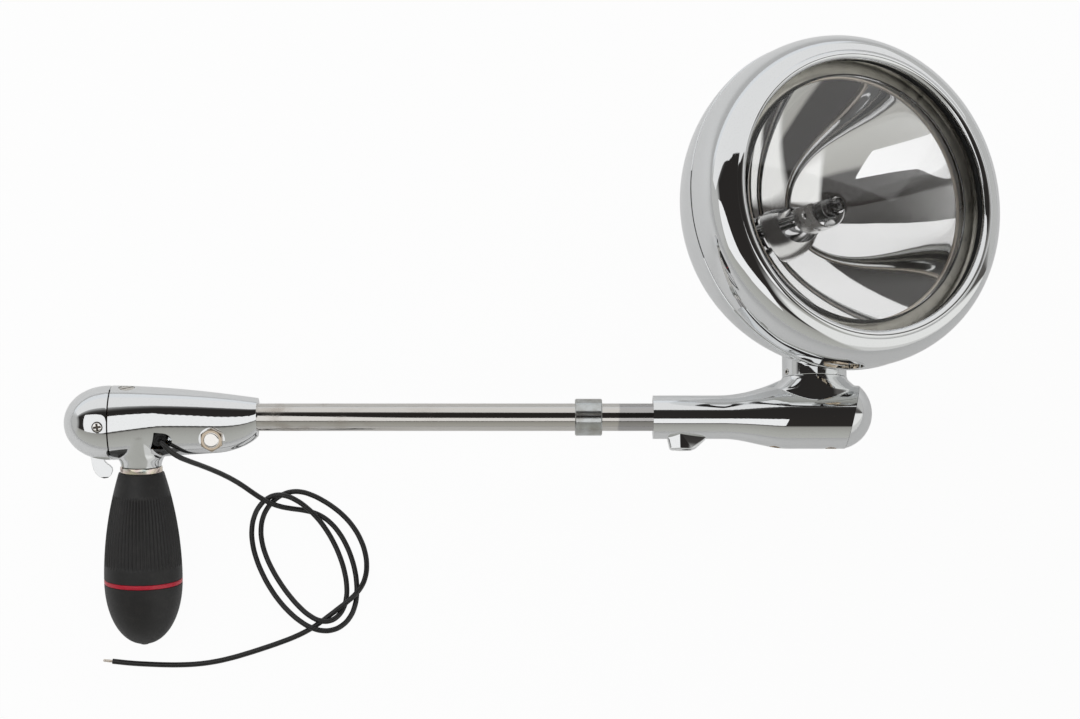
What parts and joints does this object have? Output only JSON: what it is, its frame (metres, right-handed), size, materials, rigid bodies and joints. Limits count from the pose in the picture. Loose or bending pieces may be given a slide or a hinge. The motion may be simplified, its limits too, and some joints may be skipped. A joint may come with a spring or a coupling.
{
  "type": "post-mount spotlight",
  "caption": "Chrome spotlight on a straight post: a round lamp head turned by mitre gears from a ribbed pistol-grip handle, with a lever switch and a thin supply cord.",
  "frame": {"origin": "middle of the split bush, on the axis of the post", "axes": "+X along the post to the lamp, +Z away from the table on which the unmounted light lies, lamp beam toward +Z turned 24 degrees to +X"},
  "size_m": [0.4872, 0.3193, 0.1358],
  "materials": {
    "chrome": "bright chrome plate on castings, tube and spun steel",
    "zinc": "matte zinc",
    "steel": "plain plated steel",
    "bronze": "sintered bronze",
    "yellow_zinc": "yellow iridescent zinc plate",
    "grip_plastic": "black moulded plastic with fine ribs",
    "red_plastic": "red plastic band",
    "switch_plastic": "brown moulded switch body",
    "black_rubber": "black rubber and cord sheath",
    "lens_glass": "clear pressed glass",
    "mirror": "aluminised glass",
    "ceramic": "pale ceramic"
  },
  "bodies": {
    "bush": {"split_bush": "zinc"},
    "post": {"post_tube": "chrome", "post_bearings": "bronze", "control_housing": "chrome", "control_cap": "chrome", "cap_screws": "chrome", "top_screw": "chrome", "pinch_bolt": "chrome", "pinch_nut": "chrome", "switch_body": "switch_plastic", "lever_pivot_pin": "steel", "handle_bearing": "bronze", "cord_grommet": "black_rubber", "supply_cord": "black_rubber", "cord_wire_end": "steel", "lamp_housing": "chrome", "lamp_cap": "chrome", "underside_screws": "yellow_zinc", "lug_set_screw": "steel", "neck_bearing": "bronze"},
    "drive": {"drive_shaft": "steel", "control_drive_gear": "bronze", "lamp_drive_gear": "bronze", "drive_pins": "steel"},
    "handle": {"handle_stem": "steel", "handle_gear": "bronze", "handle_pin": "steel", "handle_ferrule": "yellow_zinc", "grip_upper": "grip_plastic", "grip_band": "red_plastic", "grip_lower": "grip_plastic", "grip_plug": "grip_plastic"},
    "head": {"head_stem": "steel", "stem_gear": "bronze", "stem_pin": "steel", "saddle": "chrome", "saddle_set_screw": "steel", "saddle_plate": "steel", "stem_nut": "steel", "bowl": "chrome", "bezel": "chrome", "bezel_screw": "yellow_zinc", "bezel_clip": "steel", "lens_gasket": "black_rubber", "lamp_springs": "steel", "lamp_lens": "lens_glass", "lamp_reflector": "mirror", "lamp_capsule": "lens_glass", "lamp_filament": "steel", "lamp_shield": "steel", "lamp_supports": "steel", "lamp_insulator": "ceramic", "lamp_terminals": "bronze"},
    "switch": {"switch_lever": "chrome"}
  },
  "joints": [
    {"name": "post_turn", "type": "hinge", "parent": "bush", "child": "post", "pos_m": [0, 0, 0], "axis": [1, 0, 0], "continuous": true},
    {"name": "head_pan", "type": "hinge", "parent": "post", "child": "head", "pos_m": [0.1178, 0, 0], "axis": [0, 0.9994, 0.0349], "range_deg": [-150, 150]},
    {"name": "drive_spin", "type": "hinge", "parent": "post", "child": "drive", "pos_m": [0, 0, 0], "axis": [1, 0, 0], "range_deg": [-150, 150]},
    {"name": "handle_twist", "type": "hinge", "parent": "post", "child": "handle", "pos_m": [-0.233, 0, 0], "axis": [0, 0.9511, 0.309], "range_deg": [-150, 150]},
    {"name": "switch_swing", "type": "hinge", "parent": "post", "child": "switch", "pos_m": [-0.2565, -0.01141, -0.00371], "axis": [0, -0.309, 0.9511], "range_deg": [-16, 0]}
  ],
  "couplings": [
    {"joint": "drive_spin", "follows": "head_pan", "ratio": 1},
    {"joint": "handle_twist", "follows": "head_pan", "ratio": 1}
  ]
}
